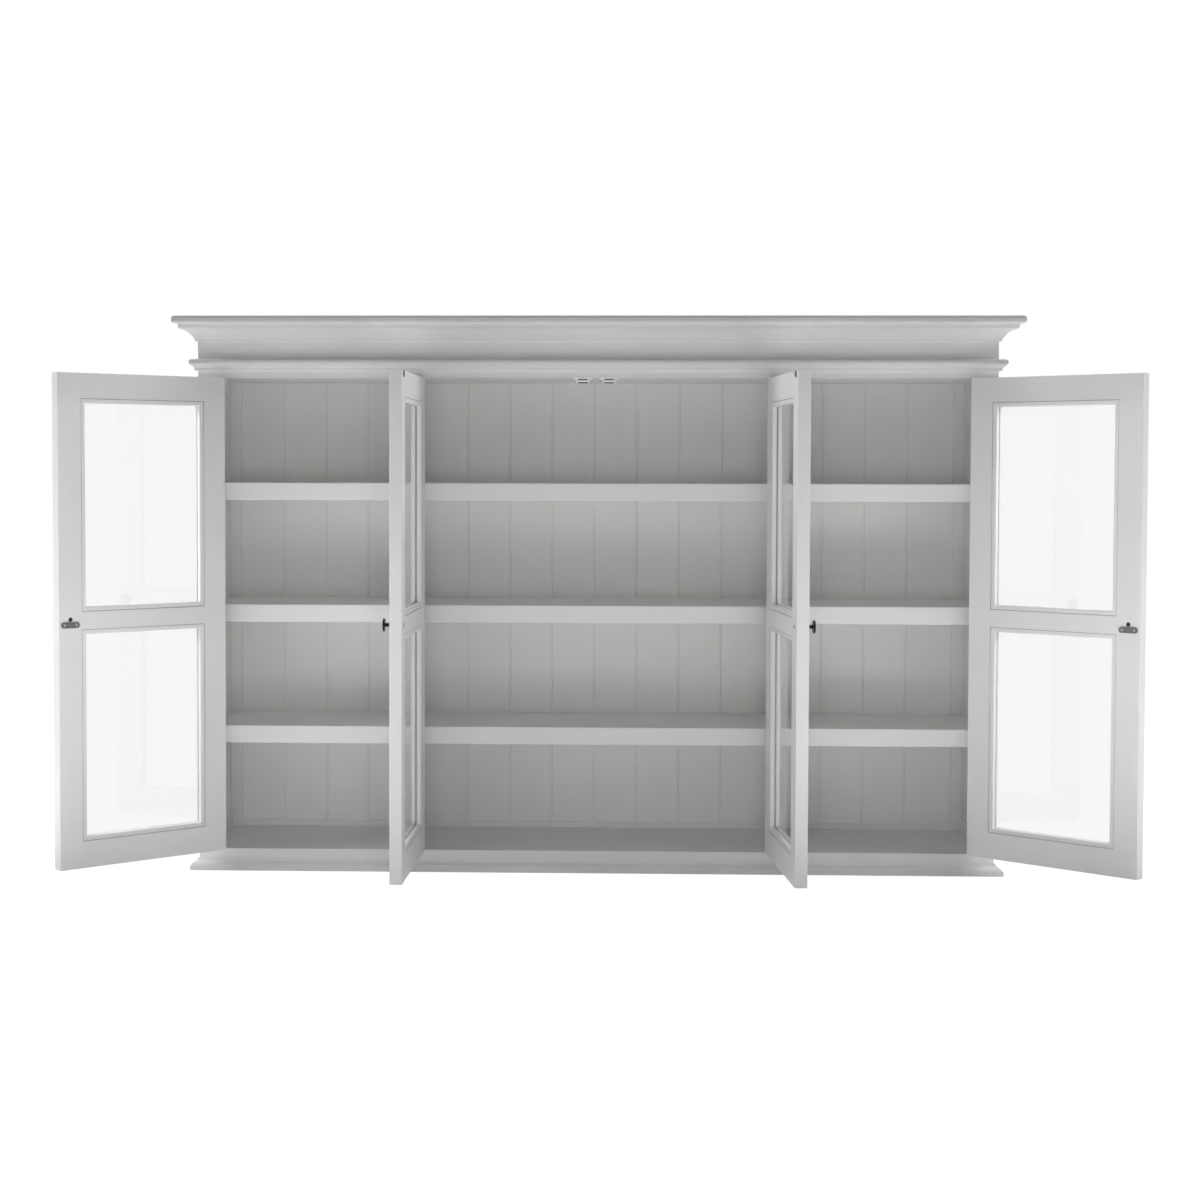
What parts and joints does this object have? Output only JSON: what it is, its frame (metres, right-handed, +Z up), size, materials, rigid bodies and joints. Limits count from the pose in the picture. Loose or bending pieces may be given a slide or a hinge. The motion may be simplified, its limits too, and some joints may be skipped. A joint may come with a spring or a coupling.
{
  "type": "buffet hutch",
  "caption": "Low, wide painted buffet hutch with a moulded cornice, shelved bays, boarded back and hinged glazed doors standing open.",
  "frame": {"origin": "centre of the carcass footprint, on the floor, on the underside of the middle base bearer", "axes": "+X to the right seen from the front, -Y to the front, where the doors open, +Z up"},
  "size_m": [2.1974, 0.712, 1.188],
  "materials": {
    "painted_wood": "satin",
    "door_wood": "satin",
    "inner_wood": "satin",
    "pane_glass": "gloss",
    "dark_bronze": "satin",
    "strike_steel": "satin",
    "hinge_steel": "satin",
    "screw_steel": "satin",
    "bronzed_screw": "satin",
    "white_plastic": "satin",
    "dark_iron": "matte"
  },
  "bodies": {
    "carcass": {"front_post_left": "painted_wood", "front_post_right": "painted_wood", "rear_post_left": "painted_wood", "rear_post_right": "painted_wood", "side_panel_left": "painted_wood", "side_panel_right": "painted_wood", "side_rails": "painted_wood", "partition_left": "painted_wood", "partition_right": "painted_wood", "frieze_rail": "painted_wood", "bottom_rail": "painted_wood", "inner_top": "painted_wood", "bottom_board": "painted_wood", "back_rails": "painted_wood", "base_bearers": "inner_wood", "back_boards_left": "painted_wood", "back_boards_centre": "painted_wood", "back_boards_right": "painted_wood", "back_battens": "painted_wood", "lower_shelves": "painted_wood", "middle_shelves": "painted_wood", "upper_shelves": "painted_wood", "shelf_cleats": "inner_wood", "crown_top": "painted_wood", "crown_cove": "painted_wood", "crown_bead": "painted_wood", "base_moulding": "painted_wood", "catch_bodies": "white_plastic", "catch_magnets": "dark_iron", "frame_hinge_leaves": "hinge_steel", "hinge_pins": "hinge_steel", "frame_screws": "screw_steel"},
    "left_outer_door": {"left_outer_frame": "door_wood", "left_outer_glass": "pane_glass", "left_outer_beads": "door_wood", "left_outer_knob": "dark_bronze", "left_outer_strike": "strike_steel", "left_outer_hinge_leaves": "hinge_steel", "left_outer_screws": "bronzed_screw"},
    "left_inner_door": {"left_inner_frame": "door_wood", "left_inner_glass": "pane_glass", "left_inner_beads": "door_wood", "left_inner_knob": "dark_bronze", "left_inner_strike": "strike_steel", "left_inner_hinge_leaves": "hinge_steel", "left_inner_screws": "bronzed_screw"},
    "right_inner_door": {"right_inner_frame": "door_wood", "right_inner_glass": "pane_glass", "right_inner_beads": "door_wood", "right_inner_knob": "dark_bronze", "right_inner_strike": "strike_steel", "right_inner_hinge_leaves": "hinge_steel", "right_inner_screws": "bronzed_screw"},
    "right_outer_door": {"right_outer_frame": "door_wood", "right_outer_glass": "pane_glass", "right_outer_beads": "door_wood", "right_outer_knob": "dark_bronze", "right_outer_strike": "strike_steel", "right_outer_hinge_leaves": "hinge_steel", "right_outer_screws": "bronzed_screw"}
  },
  "joints": [
    {"name": "left_outer_hinge", "type": "hinge", "parent": "carcass", "child": "left_outer_door", "pos_m": [-0.808, -0.162, 0.552], "axis": [0, 0, 1], "range_deg": [-36.5, 138.5]},
    {"name": "left_inner_hinge", "type": "hinge", "parent": "carcass", "child": "left_inner_door", "pos_m": [-0.3935, -0.162, 0.552], "axis": [0, 0, 1], "range_deg": [-58, 92]},
    {"name": "right_inner_hinge", "type": "hinge", "parent": "carcass", "child": "right_inner_door", "pos_m": [0.3935, -0.162, 0.552], "axis": [0, 0, 1], "range_deg": [-94, 56]},
    {"name": "right_outer_hinge", "type": "hinge", "parent": "carcass", "child": "right_outer_door", "pos_m": [0.808, -0.162, 0.552], "axis": [0, 0, 1], "range_deg": [-138.5, 36.5]}
  ]
}
